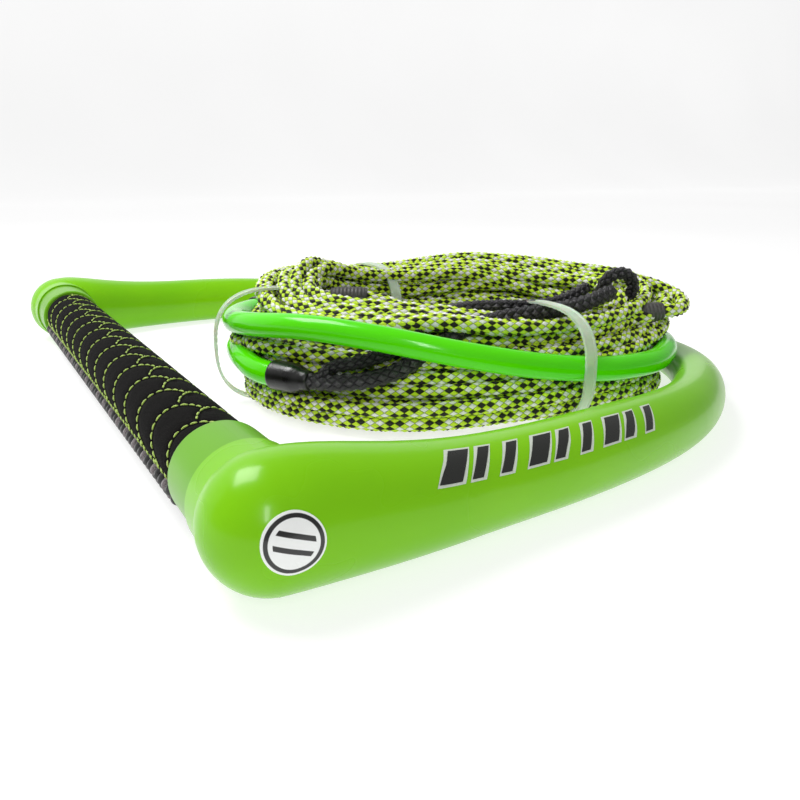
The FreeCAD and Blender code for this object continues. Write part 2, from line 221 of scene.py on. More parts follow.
def coil_point(angle, out, z):
    """A plan point at an angle of the coil's oval, a distance outside it."""
    a, t = math.radians(angle), math.radians(COIL_TURN)
    along, across = (COIL_LONG + out) * math.cos(a), (COIL_WIDE + out) * math.sin(a)
    x = COIL_CENTRE[0] + along * math.cos(t) - across * math.sin(t)
    y = COIL_CENTRE[1] + along * math.sin(t) + across * math.cos(t)
    return np.array((x, y, z))


def slots():
    """Where each turn lies in the coil's section: distance outside the oval and height, in winding order."""
    made = []
    for layer, (count, inset) in enumerate(ROWS):
        shift = 0.5 * ABREAST * (layer % 2)
        height = ROPE_R + SLACK + LAYER * layer
        row = [(-(ROPE_R + inset + shift / 2 + ABREAST * i), height) for i in range(count)]
        made.append(row if layer % 2 == 0 else row[::-1])
    return made


def smooth_step(t):
    t = min(max(t, 0.0), 1.0)
    return t * t * (3 - 2 * t)


def turn_points(here, after, wander, lift):
    """One turn of the coil from one slot to the next, wandering a little as hand-wound rope does."""
    made = []
    for i in range(POINTS_A_TURN):
        angle = TURN_START + 360 * i / POINTS_A_TURN
        t = smooth_step((angle - 25) / 75)
        out = here[0] + (after[0] - here[0]) * t
        z = here[1] + (after[1] - here[1]) * t
        a = math.radians(angle)
        roll = math.radians(COIL_ROLL) * math.sin(a + 0.9)
        w, h = out + COIL_BAND / 2, z - COIL_MIDDLE
        out = w * math.cos(roll) - h * math.sin(roll) - COIL_BAND / 2
        z = w * math.sin(roll) + h * math.cos(roll) + COIL_MIDDLE
        wrapped = (angle + 180) % 360 - 180
        top = float(np.interp(wrapped, *zip(*HEIGHT_AT)))
        z = ROPE_R + SLACK + (z - ROPE_R - SLACK) * (top - 2 * ROPE_R) / ((len(ROWS) - 1) * LAYER)
        bulge = sum(math.exp(-((z - height) / spread) ** 2) * float(np.interp(wrapped, *zip(*reach)))
                    for height, spread, reach in BULGES)
        out += bulge * min(1.0, max(0.0, 1 + out / COIL_BAND))
        for wave, size_out, size_up, phase in wander:
            out += size_out * math.sin(wave * a + phase)
            z += size_up * math.sin(wave * a + phase * 1.7)
        for centre, width, up, outward in lift:
            bell = math.exp(-((((angle - centre + 180) % 360) - 180) / width) ** 2)
            z += up * bell
            out += outward * bell
        made.append(coil_point(angle, out, z))
    return made


def clear_of(points, obstacles, reach=5.0, soak=3.0):
    """Moves points off the round things that they lie against, and closes up the turns behind them."""
    centre = np.array([*COIL_CENTRE, COIL_MIDDLE])
    for line, radius in obstacles:
        gap = np.linalg.norm(points[:, None] - line[None], axis=2) - radius[None] - ROPE_R
        near = gap.argmin(axis=1)
        depth = gap[np.arange(len(points)), near]
        for i in np.nonzero(depth < reach)[0]:
            q = line[near[i]]
            inward = centre - q
            inward[2] *= 0.3
            way = points[i] - q + inward / np.linalg.norm(inward) * 0.8
            way /= np.linalg.norm(way)
            wanted = max(SLACK, (depth[i] + soak) * reach / (reach + soak))
            points[i] = q + way * (radius[near[i]] + ROPE_R + wanted)
    points[:, 2] = np.maximum(points[:, 2], ROPE_R + 0.1)
    return points


def plan_line(route, radius):
    """A round thing that the rope lies against: its middle line and its radius there."""
    line, _ = even_line(route, OBSTACLE_STEP)
    return line, np.full(len(line), float(radius))


def arm_lines():
    """The two arms in the same form. An arm lies on the floor, so its radius is its middle's height."""
    made = []
    for stations, start in ((NEAR_ARM, 0), (FAR_ARM, BAR_SPAN)):
        line, _ = even_line([(x, start + y, r) for x, y, r in stations], OBSTACLE_STEP)
        made.append((line, line[:, 2].copy()))
    return made


def mainline_routes():
    """Control points of the mainline's three sections, bottom of the coil to top, in plan millimetres."""
    rows = slots()
    groups = [rows[0] + rows[1] + rows[2], rows[3] + rows[4] + rows[5], rows[6] + rows[7]]
    routes = []
    for g, group in enumerate(groups):
        points = []
        for k, here in enumerate(group):
            after = group[min(k + 1, len(group) - 1)]
            loose = 0.7 + 0.25 * g
            wander = [(w, RNG.uniform(-1, 1) * loose, RNG.uniform(-1, 1) * 0.5 * loose, RNG.uniform(0, 6.3))
                      for w in (1, 2, 3)]
            lift = []
            if g == 2:
                lift = [(RNG.uniform(160, 185), RNG.uniform(14, 22), RNG.uniform(2, 9), RNG.uniform(-5, 1)),
                        (RNG.uniform(-8, 14), RNG.uniform(12, 20), RNG.uniform(0, 5), RNG.uniform(2, 15))]
            points += turn_points(here, after, wander, lift)
        routes.append(np.array(points))
    return routes


OBSTACLES = arm_lines() + [
    plan_line(NEAR_TUBE, TUBE_R), plan_line(FAR_TUBE, TUBE_R), plan_line(LEAD_LINE, LEAD_R),
    plan_line(FAR_LEG, FAR_LEG_R), plan_line(LEAD_TAIL, LEAD_TAIL_R),
]
MAINLINE = [clear_of(route, OBSTACLES) for route in mainline_routes()]
MAINLINE[2] = np.vstack([EYE_START, MAINLINE[2][2:], LEFT_END])
MAINLINE[1] = np.vstack([MAINLINE[1], BACK_END])

# ---------------------------------------------------------------- materials


class Socket:
    """A shader socket that can take part in sums."""

    def __init__(self, shader, socket):
        self.shader, self.socket = shader, socket

    def maths(self, operation, *others):
        return self.shader.node("ShaderNodeMath", [self, *others], operation=operation)

    def __add__(self, other):
        return self.maths("ADD", other)

    def __sub__(self, other):
        return self.maths("SUBTRACT", other)

    def __mul__(self, other):
        return self.maths("MULTIPLY", other)

    def __pow__(self, other):
        return self.maths("POWER", other)

    def size(self):
        return self.maths("ABSOLUTE")

    def sine(self):
        return self.maths("SINE")

    def clamped(self, low, high, start=0.0, end=1.0):
        """The value carried from low..high to start..end, and kept inside it."""
        return self.shader.node("ShaderNodeMapRange", [self, low, high, start, end])


class Shader:
    """A Principled material being built."""

    def __init__(self, name, **constants):
        self.material = bpy.data.materials.new(name)
        self.material.use_nodes = True
        self.tree = self.material.node_tree
        self.surface = self.tree.nodes["Principled BSDF"]
        for key, value in constants.items():
            self.surface.inputs[key.replace("_", " ")].default_value = value

    def node(self, kind, inputs=(), out=0, **settings):
        """One node, its inputs given in order (or by name), each a value or a socket."""
        made = self.tree.nodes.new(kind)
        for key, value in settings.items():
            setattr(made, key, value)
        named = inputs.items() if isinstance(inputs, dict) else enumerate(inputs)
        for key, value in named:
            if isinstance(value, Socket):
                self.tree.links.new(value.socket, made.inputs[key])
            else:
                made.inputs[key].default_value = value
        return Socket(self, made.outputs[out])

    def place(self):
        """Where a surface point is in the frame, in metres."""
        return self.node("ShaderNodeTexCoord", out=3)

    def across(self):
        """The piece's own two-way map, as two sockets."""
        split = self.node("ShaderNodeSeparateXYZ", [self.node("ShaderNodeUVMap", out=0)])
        return split, Socket(self, split.socket.node.outputs[1])

    def noise(self, scale, detail=3.0, rough=0.5, at=None):
        return self.node("ShaderNodeTexNoise", {"Vector": at or self.place(), "Scale": scale, "Detail": detail,
                                                "Roughness": rough})

    def mix(self, factor, first, second):
        """Two colours, blended."""
        made = self.tree.nodes.new("ShaderNodeMix")
        made.data_type = "RGBA"
        for index, value in ((0, factor), (6, first), (7, second)):
            if isinstance(value, Socket):
                self.tree.links.new(value.socket, made.inputs[index])
            else:
                made.inputs[index].default_value = value if index == 0 else (*value[:3], 1)
        return Socket(self, made.outputs[2])

    def feed(self, name, value):
        self.tree.links.new(value.socket, self.surface.inputs[name])

    def bump(self, height, strength, depth):
        self.feed("Normal", self.node("ShaderNodeBump", {"Strength": strength, "Distance": depth, "Height": height}))


def linear(red, green, blue):
    """A colour as seen on a screen, 0 to 255, in the renderer's linear values."""
    return tuple((c / 255) ** 2.2 for c in (red, green, blue)) + (1,)


def yarn(name, body, shade, rough, lay, sheen=0.0, strength=0.8):
    """Braided yarn: each diamond is a bundle of fibres that leans one way and dips at its edges. Lines in the second
    colour run along the fibres: painted shade where that colour is darker than the body, painted glints where it is
    paler. A dim copy of it is painted shade in the gaps at each diamond's edge.
    """
    s = Shader(name, Roughness=rough, Sheen_Weight=sheen, Sheen_Roughness=0.4)
    u, v = s.across()
    u, v = u - 0.5, v - 0.5
    edge = (u.size() + v.size()) * 2.0
    fleck = s.noise(2200, 2)
    fibre = ((u + v * lay) * 30.0 + fleck * 5.0).sine()
    # fibre lines in the second colour: painted shade between the fibres, painted glints on the black lead
    tone = s.mix(fibre.clamped(-0.2, 1.0, 0.0, 0.6), body, shade)
    tone = s.mix(s.noise(90, 2).clamped(0.4, 0.7, 0.0, 0.45), tone, shade)
    # painted shade: each diamond's edge is mixed toward a dim copy of the second colour
    s.feed("Base Color", s.mix(edge.clamped(0.8, 1.0, 0.0, 0.75), tone, tuple(c * 0.15 for c in shade[:3])))
    s.bump((edge ** 3.0) * -1.0 + fibre * 0.14, strength, 0.0007)
    return s.material


def glossy_float(name, body, shade, rough, coat, soft):
    """A smooth skin with a little variation in colour and gloss, on dipped foam, mouldings and soft tube."""
    s = Shader(name, Coat_Weight=coat, Coat_Roughness=0.12, Subsurface_Weight=soft, Subsurface_Scale=0.004,
               Specular_IOR_Level=0.18)
    broad = s.noise(14, 3)
    s.feed("Base Color", s.mix(broad.clamped(0.35, 0.68, 0.0, 0.55), body, shade))
    s.feed("Roughness", broad.clamped(0.3, 0.7, rough - 0.05, rough + 0.08))
    return s.material


# the mainline yarns' darker second colours: painted shade in the fibre lines and at the diamond edges
LIME = yarn("lime yarn", linear(222, 254, 40), linear(176, 226, 18), 0.45, 1.0, 0.1)
WHITE = yarn("white yarn", linear(255, 255, 254), linear(236, 242, 228), 0.38, -1.0, 0.1)
BLACK = yarn("black yarn", linear(13, 13, 8), linear(6, 7, 4), 0.55, -1.0, 0.0)
# the black lead's paler second colours: painted glints along its fibres
LEAD_BLACK = yarn("coated black braid", linear(13, 13, 14), linear(92, 90, 94), 0.28, 1.0, 0.0, 1.0)
LEAD_DEEP = yarn("coated black braid, deep", linear(9, 9, 10), linear(50, 49, 52), 0.32, -1.0, 0.0, 1.0)

# ---------------------------------------------------------------- rope


def new_piece(name, verts, faces, materials, face_material=None, uv=None, smooth=True):
    """A mesh object made from arrays."""
    mesh = bpy.data.meshes.new(name)
    mesh.from_pydata(np.asarray(verts).tolist(), [], faces if isinstance(faces, list) else faces.tolist())
    for m in materials:
        mesh.materials.append(m)
    if face_material is not None:
        mesh.polygons.foreach_set("material_index", np.asarray(face_material, dtype=np.int32))
    if uv is not None:
        mesh.uv_layers.new(name="yarn")
        mesh.uv_layers[0].data.foreach_set("uv", np.asarray(uv, dtype=np.float32).ravel())
    mesh.polygons.foreach_set("use_smooth", np.full(len(mesh.polygons), smooth))
    mesh.update()
    obj = bpy.data.objects.new(name, mesh)
    bpy.context.collection.objects.link(obj)
    return obj


def braided(name, line, radius, around, puff, dip, materials, colour_of):
    """A braid round a line: a lattice of diamonds, each a raised centre and four sunken corners."""
    n = len(line)
    _, side, other = carried_frame(line)
    i, j = np.meshgrid(np.arange(n), np.arange(around), indexing="ij")
    turn = 2 * np.pi * j / around
    reach = radius + np.where((i + j) % 2 == 0, puff, -dip)
    spots = (line[:, None] + (reach * np.cos(turn))[..., None] * side[:, None]
             + (reach * np.sin(turn))[..., None] * other[:, None])
    verts = np.vstack([spots.reshape(-1, 3), line[:1], line[-1:]])
    ci, cj = np.nonzero((i + j) % 2 == 0)
    centre = ci * around + cj
    east = ci * around + (cj + 1) % around
    west = ci * around + (cj - 1) % around
    north, south = centre + around, centre - around
    mid, e, w, up, down = (0.5, 0.5), (0.5, 1.0), (0.5, 0.0), (1.0, 0.5), (0.0, 0.5)
    parts = []
    for keep, a, b, ua, ub in ((ci < n - 1, east, north, e, up), (ci < n - 1, north, west, up, w),
                               (ci > 0, west, south, w, down), (ci > 0, south, east, down, e)):
        faces = np.column_stack([centre, a, b])[keep]
        tint = colour_of(ci[keep], cj[keep])
        parts.append((faces, tint, np.tile([mid, ua, ub], (len(faces), 1, 1))))
    ring = np.arange(around)
    first = np.column_stack([np.full(around, n * around), (ring + 1) % around, ring])
    last = np.column_stack([np.full(around, n * around + 1), ring, (ring + 1) % around])
    last[:, 1:] += (n - 1) * around
    flat_uv = np.tile([mid, mid, mid], (around, 1, 1))
    parts += [(first, np.zeros(around, int), flat_uv), (last, np.zeros(around, int), flat_uv)]
    faces, tints, uvs = (np.concatenate([p[k] for p in parts]) for k in range(3))
    return new_piece(name, verts, faces, materials, tints, uvs)


def mainline_colour(i, j):
    """Lime yarn every other row; between them two black diamonds, then two white."""
    step = (i // 2 + j // 2) % 4
    return np.where(i % 2 == 0, 0, np.where(step < 2, 1, 2))


ROPE_AROUND, ROPE_STEP, ROPE_PUFF, ROPE_DIP = 14, 0.00185, 0.0003, 0.0004


def tow_rope(name, route):
    """A length of the tow rope: braided and tied to the bridle's body."""
    line, length = even_line(routed(route), ROPE_STEP)
    rope = braided(name, line, ROPE_R / 1000, ROPE_AROUND, ROPE_PUFF, ROPE_DIP, [LIME, BLACK, WHITE],
                   mainline_colour)
    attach(rope, "bridle")
    return rope


ropes = [tow_rope(f"mainline_{part}", route) for part, route in zip(("lower", "middle", "upper"), MAINLINE)]
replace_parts(ropes[0], "mainline_coil")


# ---------------------------------------------------------------- the black lead


LEAD_AROUND, LEAD_PUFF, LEAD_DIP = 10, 0.0004, 0.00035


def lead_colour(i, j):
    """Two shades of black, turn about along the braid."""
    return (i % 2).astype(int)


def lead_piece(name, line, radius):
    """A length of the lead's hollow braid."""
    piece = braided(name, line, radius / 1000, LEAD_AROUND, LEAD_PUFF, LEAD_DIP, [LEAD_BLACK, LEAD_DEEP],
                    lead_colour)
    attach(piece, "bridle")
    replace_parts(piece, name)
    return piece


def lead_cord(name, route, radius, step, far_end, **more):
    """A free length of the lead."""
    line, length = even_line(routed(route), step)
    lead_piece(name, line, radius)


def black_lead():
    """The lead with its buried splice, the far tube's leg, and the loop that takes the rope's eye."""
    lead_cord("lead_line", LEAD_LINE, LEAD_R, 0.0021, "knot", with_pieces=["lead_loop"])
    lead_cord("lead_tail", LEAD_TAIL_START + LEAD_TAIL, LEAD_TAIL_R, 0.0018, "object")
    lead_cord("far_leg", FAR_LEG, FAR_LEG_R, 0.0019, "object")
    centre, axis, radius = LEAD_LOOP
    axis = Vector(axis).normalized()
    side = axis.cross((0, 0, 1)).normalized()
    up = axis.cross(side)
    ring = []
    for k in range(16):
        a = 2 * math.pi * k / 16
        ring.append(place(*centre) + (side * math.cos(a) + up * math.sin(a)) * (radius * 1.03 / 1000))
    line, _ = even_line(ring, 0.0017, closed=True)
    lead_piece("lead_loop", line, FAR_LEG_R)


black_lead()
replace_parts(tow_rope("boat_loop", BOAT_LOOP), "boat_loop")

# ---------------------------------------------------------------- smooth parts that the CAD already shapes

FLOAT = glossy_float("float skin", linear(124, 195, 12), linear(106, 180, 5), 0.27, 0.2, 0.02)
CAP = glossy_float("end cap", linear(106, 170, 26), linear(90, 156, 16), 0.3, 0.1, 0.02)
TUBE = glossy_float("bridle tube", linear(87, 220, 0), linear(76, 212, 0), 0.17, 0.3, 0.0)


def rubber(name, body, rough):
    """Black or grey rubber with fine grain."""
    s = Shader(name, Coat_Weight=0.12, Coat_Roughness=0.3)
    grain = s.noise(900, 4)
    s.feed("Base Color", s.mix(grain.clamped(0.3, 0.7), body, tuple(c * 1.7 for c in body[:3])))
    s.feed("Roughness", s.noise(160, 2).clamped(0.3, 0.7, rough - 0.08, rough + 0.1))
    s.bump(grain, 0.25, 0.0004)
    return s.material


def brushed(name, body, rough):
    """Bare metal with streaks round it."""
    s = Shader(name, Metallic=1.0)
    streak = s.noise(1.0, 2, at=s.node("ShaderNodeMapping", {"Vector": s.place(), "Scale": (900, 30, 900)}))
    s.feed("Base Color", s.mix(streak.clamped(0.3, 0.7, 0.0, 0.4), body, tuple(c * 0.8 for c in body[:3])))
    s.feed("Roughness", streak.clamped(0.3, 0.7, rough - 0.06, rough + 0.08))
    return s.material


def nylon(name):
    """Milky nylon: light comes part of the way through."""
    s = Shader(name, Transmission_Weight=0.45, IOR=1.53, Subsurface_Weight=0.25, Subsurface_Scale=0.003)
    cloud = s.noise(220, 3)
    s.feed("Base Color", s.mix(cloud.clamped(0.35, 0.65, 0.0, 0.5), linear(236, 246, 228), linear(212, 232, 204)))
    s.feed("Roughness", cloud.clamped(0.3, 0.7, 0.28, 0.42))
    s.bump(cloud, 0.15, 0.0004)
    return s.material


def fabric(name, body, fleck_colour):
    """Black knitted fabric: fine loops, a little nap and pale flecks."""
    s = Shader(name, Roughness=0.9, Sheen_Weight=0.0, Specular_IOR_Level=0.12)
    knit = s.node("ShaderNodeTexVoronoi", {"Vector": s.place(), "Scale": 1900.0})
    nap = s.noise(3200, 2)
    broad = s.noise(50, 3)
    tone = s.mix(nap.clamped(0.45, 0.8, 0.0, 0.55), body, fleck_colour)
    s.feed("Base Color", s.mix(broad.clamped(0.35, 0.7, 0.0, 0.5), tone, tuple(c * 0.6 for c in body[:3])))
    s.bump(knit * -1.0 + nap * 0.5, 0.5, 0.0004)
    return s.material


def thread(name, body, shade):
    """Twisted thread or cord."""
    s = Shader(name, Roughness=0.55, Sheen_Weight=0.2)
    twist = s.noise(2400, 2)
    s.feed("Base Color", s.mix(twist.clamped(0.35, 0.65, 0.0, 0.8), body, shade))
    s.bump(twist, 0.4, 0.0002)
    return s.material


def print_ink(name, body, rough):
    """Printed ink with a faint grain."""
    s = Shader(name, Coat_Weight=0.4, Coat_Roughness=0.15)
    grain = s.noise(700, 3)
    s.feed("Base Color", s.mix(grain.clamped(0.3, 0.7, 0.0, 0.3), body, tuple(c * 0.75 for c in body[:3])))
    s.feed("Roughness", grain.clamped(0.3, 0.7, rough - 0.04, rough + 0.06))
    return s.material


GREY = rubber("grey splice cover", linear(58, 57, 55), 0.6)
SLEEVE = rubber("black sleeve", linear(16, 16, 15), 0.32)
FOAM = rubber("grip foam", linear(24, 24, 23), 0.7)
METAL = brushed("anodised tube", linear(168, 170, 172), 0.34)
LINE = rubber("bridle line", linear(30, 30, 32), 0.5)
NYLON = nylon("tie nylon")
GRIP_FABRIC = fabric("grip fabric", linear(9, 7, 6), linear(30, 27, 22))
THREAD = thread("lime thread", linear(176, 205, 84), linear(120, 150, 40))
LACING = thread("black lacing", linear(26, 25, 26), linear(8, 8, 8))
LACING_PALE = thread("grey lacing", linear(128, 118, 120), linear(44, 40, 42))
DECAL_INK = print_ink("decal ink", linear(28, 30, 26), 0.3)
DECAL_EDGE = print_ink("decal edge", linear(206, 214, 200), 0.3)


def finish_node(material, *names):
    """Gives nodes of the CAD model their material."""
    for name in names:
        mesh = NODES[name].data
        mesh.materials.clear()
        mesh.materials.append(material)


finish_node(FLOAT, "float_arm_near", "float_arm_far")
finish_node(CAP, "end_cap_near", "end_cap_far")
finish_node(TUBE, "bridle_tube_near", "bridle_tube_far")
finish_node(METAL, "bar_tube")
finish_node(FOAM, "grip_sleeve")
finish_node(LINE, "bridle_line")

# ---------------------------------------------------------------- grip cover, stitching and laced seam

SCALE_PITCH, SCALE_RISE, SCALE_HALF = 18.9, 13.0, 52.0
SCALE_COLUMNS = [(133, 72.0), (52, 64.4), (-29, 72.0), (-110, 64.4)]   # middle in degrees, first row's foot
STITCH, STITCH_GAP = 2.3, 0.8
COVER_AROUND, COVER_STEP = 132, 1.1
LACE_PITCH, LACE_LEAN, EDGE_STITCH = 4.3, 2.6, 2.1
BAR_MIDDLE = place(0, 0, BAR_HEIGHT)


def on_bar(y, angle, radius):
    """A point round the bar: distance along it, degrees from +X towards +Z, and radius, in millimetres."""
    a = math.radians(angle)
    return BAR_MIDDLE + Vector((radius * math.cos(a), y, radius * math.sin(a))) / 1000


def scale_lines():
    """The stitched scales as rows of (distance along the bar, angle) points, half a millimetre apart."""
    made = []
    for middle, foot in SCALE_COLUMNS:
        for row in range(-3, 14):
            line = []
            for k in range(81):
                u = -1 + 2 * k / 80
                y = foot + SCALE_PITCH * row + SCALE_RISE * (1 - u * u) ** 0.6
                line.append((y, middle + SCALE_HALF * u))
            kept = [p for p in line if GRIP_START + 1 < p[0] < BAR_SPAN - GRIP_START - 1]
            if len(kept) > 8:
                made.append(kept)
    return made


def bar_plan(y, angle):
    return y, math.radians((angle + 360) % 360) * COVER_R


def grip_cover(lines):
    """Padded fabric round the bar, drawn in along its stitching."""
    flat = [bar_plan(y, a) for line in lines for y, a in line]
    girth = 2 * math.pi * COVER_R
    tree = KDTree(3 * len(flat))
    for k, (y, s) in enumerate(flat):
        for turn in range(3):
            tree.insert((y, s + (turn - 1) * girth, 0), 3 * k + turn)
    tree.balance()
    around = COVER_AROUND
    stations = np.arange(GRIP_START, BAR_SPAN - GRIP_START + 0.01, COVER_STEP)
    verts, faces = [], []
    for i, y in enumerate(stations):
        end = min(y - GRIP_START, BAR_SPAN - GRIP_START - y)
        for j in range(around):
            angle = 360 * j / around
            gap = tree.find((y, bar_plan(y, angle)[1], 0))[2]
            puff = 0.5 - 1.0 * math.exp(-(gap / 0.9) ** 2) + 0.35 * min(1, gap / 5)
            verts.append(on_bar(y, angle, COVER_R - 0.45 + puff - 0.6 * math.exp(-end / 1.2)))
            if i:
                a, b = i * around, (i - 1) * around
                k = (j + 1) % around
                faces.append((a + j, a + k, b + k, b + j))
    cover = new_piece("grip_cover_fabric", [tuple(v) for v in verts], faces, [GRIP_FABRIC])
    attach(cover, "bar")
    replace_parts(cover, "grip_cover")


def bead(verts, faces, start, end, out, wide, high, sides=6, rings=5):
    """Adds a short rounded stitch from one point to another to a list of mesh parts."""
    along = end - start
    across = along.cross(out).normalized()
    first = len(verts)
    for i in range(rings):
        t = i / (rings - 1)
        fat = math.sin(math.pi * (0.08 + 0.84 * t)) ** 0.5
        lift = high * 0.5 * math.sin(math.pi * t)
        for j in range(sides):
            a = 2 * math.pi * j / sides
            aside, up = wide * fat * math.cos(a), high * fat * math.sin(a) + lift
            verts.append(start + along * t + across * aside + out * up)
    for i in range(rings - 1):
        for j in range(sides):
            k = (j + 1) % sides
            a, b = first + i * sides, first + (i + 1) * sides
            faces.append((a + j, a + k, b + k, b + j))
    faces.append(tuple(first + j for j in range(sides))[::-1])
    faces.append(tuple(first + (rings - 1) * sides + j for j in range(sides)))


def stitching(lines):
    """Lime thread along the scales, one bead to each stitch."""
    verts, faces = [], []
    for line in lines:
        spots = [on_bar(y, a, COVER_R + 0.05) for y, a in line]
        walked = [0.0]
        for a, b in zip(spots, spots[1:]):
            walked.append(walked[-1] + (b - a).length * 1000)
        at = 0.3
        while at + STITCH < walked[-1]:
            ends = []
            for reach in (at, at + STITCH):
                k = int(np.searchsorted(walked, reach))
                ends.append(spots[min(k, len(spots) - 1)])
            middle = (ends[0] + ends[1]) / 2
            out = Vector((middle.x - BAR_MIDDLE.x, 0, middle.z - BAR_MIDDLE.z)).normalized()
            bead(verts, faces, ends[0], ends[1], out, 0.00042, 0.0003)
            at += STITCH + STITCH_GAP
    thread = new_piece("grip_stitching", [tuple(v) for v in verts], faces, [THREAD])
    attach(thread, "bar")


def laced_seam():
    """Black and grey cord laced back and forth across the cover's seam, with a lime edge."""
    verts, faces, tint = [], [], []
    low, high = SEAM_AT - SEAM_ARC / 2, SEAM_AT + SEAM_ARC / 2
    y, k = GRIP_START + 2.0, 0
    while y < BAR_SPAN - GRIP_START - 5:
        out = Vector((math.cos(math.radians(SEAM_AT)), 0, math.sin(math.radians(SEAM_AT))))
        for a0, a1 in ((low + 2, SEAM_AT + 1), (high - 2, SEAM_AT - 1)):
            before = len(faces)
            start = on_bar(y, a0, COVER_R + 0.15)
            end = on_bar(y + LACE_LEAN, a1, COVER_R + 0.35)
            bead(verts, faces, start, end, out, 0.0015, 0.0016, 8, 7)
            tint += [int(k % 3 == 1)] * (len(faces) - before)
        before = len(faces)
        out = Vector((math.cos(math.radians(low)), 0, math.sin(math.radians(low))))
        for a0, a1 in ((low - 2.5, low + 2.5), (low + 2.5, low - 2.5)):
            start = on_bar(y, a0, COVER_R + 0.2)
            bead(verts, faces, start, on_bar(y + EDGE_STITCH, a1, COVER_R + 0.2), out, 0.0004, 0.0003)
        tint += [2] * (len(faces) - before)
        y += LACE_PITCH
        k += 1
    lacing = new_piece("grip_lacing", [tuple(v) for v in verts], faces, [LACING, LACING_PALE, THREAD], tint)
    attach(lacing, "bar")
    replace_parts(lacing, "grip_seam")


SCALES = scale_lines()
grip_cover(SCALES)
stitching(SCALES)
laced_seam()

# ---------------------------------------------------------------- heat-shrink sleeves and splice covers

SLEEVE_LONG, SLEEVE_OVER_TUBE, SLEEVE_R = 19, 11, 6.08
SPLICE_MOUTH_R, SPLICE_SWELL, SPLICE_RIB_PITCH = 3.9, 0.5, 1.7


def turned(name, start, along, profile, material, body, sides=40):
    """A closed turned piece: (distance, radius) pairs along an axis, in millimetres from the start point."""
    along = Vector(along).normalized()
    side = along.orthogonal().normalized()
    other = along.cross(side)
    verts = []
    for reach, radius in profile:
        middle = start + along * (reach / 1000)
        for j in range(sides):
            a = 2 * math.pi * j / sides
            verts.append(middle + (side * math.cos(a) + other * math.sin(a)) * (radius / 1000))
    faces = []
    for i in range(len(profile) - 1):
        for j in range(sides):
            k = (j + 1) % sides
            faces.append((i * sides + j, i * sides + k, (i + 1) * sides + k, (i + 1) * sides + j))
    faces.append(tuple(range(sides))[::-1])
    faces.append(tuple((len(profile) - 1) * sides + j for j in range(sides)))
    piece = new_piece(name, [tuple(v) for v in verts], faces, [material])
    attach(piece, body)
    return piece


def heat_shrink(name, route, line_radius):
    """Shrunk sleeve: full over the tube, necked in where the line leaves it."""
    end = place(*route[-1])
    along = (end - place(*route[-2])).normalized()
    start = end - along * (SLEEVE_OVER_TUBE / 1000)
    profile = [(0, 5.3), (0.3, 5.9), (1, 6.1)]
    for k in range(SLEEVE_LONG - 2):
        reach = 1.5 + k
        neck = smooth_step((reach - SLEEVE_OVER_TUBE + 0.5) / 7.5)
        wrinkle = 0.08 * math.sin(reach * 2.3) * (0.3 + neck)
        profile.append((reach, SLEEVE_R + (line_radius + 0.75 - SLEEVE_R) * neck + wrinkle))
    profile += [(SLEEVE_LONG - 0.3, line_radius + 0.6), (SLEEVE_LONG, line_radius + 0.2)]
    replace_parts(turned(name + "_sleeve", start, along, profile, SLEEVE, "bridle"), name)


def splice_covers():
    """Ribbed grey sleeves, thicker in the middle, where the rope is buried in itself."""
    for name, (middle, along, length) in SPLICE_COVERS.items():
        along = Vector(along).normalized()
        start = place(*middle) - along * (length / 2000)
        profile = [(0, 3.5), (0.4, SPLICE_MOUTH_R)]
        steps = int(length / 0.35)
        for k in range(1, steps):
            reach = length * k / steps
            end = min(reach, length - reach)
            rib = 0.16 * math.sin(2 * math.pi * reach / SPLICE_RIB_PITCH)
            profile.append((reach, SPLICE_MOUTH_R + SPLICE_SWELL * smooth_step(end / 4) + rib))
        profile += [(length - 0.4, SPLICE_MOUTH_R), (length, 3.5)]
        cover = turned(f"splice_cover_{name}_ribbed", start, along, profile, GREY, "bridle", 32)
        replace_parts(cover, f"splice_cover_{name}")


heat_shrink("heat_shrink_near", NEAR_TUBE, LEAD_R)
heat_shrink("heat_shrink_far", FAR_TUBE, FAR_LEG_R)
splice_covers()

# ---------------------------------------------------------------- cable ties

STRAP_HALF, STRAP_THICK, STRAP_TOOTH, STRAP_STEPS = 2.6, 1.2, 0.18, 150


def cable_tie(name):
    """A flat nylon strap round the bundle, toothed on its inner face, and its head in the coil's hole."""
    angle, outside, inside, high = TIES[name]
    inner, outer = (Vector(coil_point(angle, r, 0)) for r in (-inside, outside))
    across = outer - inner
    flat = across.normalized()
    wide = Vector((-flat.y, flat.x, 0))
    middle = (inner + outer) / 2
    verts, faces = [], []
    section = [(-1, 0), (-1, 1), (-0.72, 1), (-0.62, 0.72), (0.62, 0.72), (0.72, 1), (1, 1), (1, 0)]
    for k in range(STRAP_STEPS):
        a = 2 * math.pi * k / STRAP_STEPS
        c, s = math.cos(a), math.sin(a)
        u, v = (math.copysign(abs(q) ** 0.74, q) for q in (c, s))
        normal = Vector((c * abs(c) ** 0.3 * high, s * abs(s) ** 0.3 * across.length)).normalized()
        spot = middle + flat * (u * across.length / 2) + Vector((0, 0, high / 2 + v * high / 2))
        out = flat * normal.x + Vector((0, 0, normal.y))
        for x, t in section:
            tooth = STRAP_TOOTH * (k % 2) if t == 0 else 0
            p = spot + wide * (x * STRAP_HALF) + out * ((t - 1) * STRAP_THICK + tooth)
            verts.append(place(p.x, p.y, max(p.z, 0.05)))
    n = len(section)
    for k in range(STRAP_STEPS):
        for j in range(n):
            a, b = k * n, ((k + 1) % STRAP_STEPS) * n
            faces.append((a + j, a + (j + 1) % n, b + (j + 1) % n, b + j))
    strap = new_piece(f"tie_strap_{name}_nylon", [tuple(v) for v in verts], faces, [NYLON], smooth=False)
    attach(strap, "bridle")
    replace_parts(strap, f"tie_strap_{name}")
    finish_node(NYLON, f"tie_head_{name}")


for tie_name in TIES:
    cable_tie(tie_name)

# ---------------------------------------------------------------- badge and decal

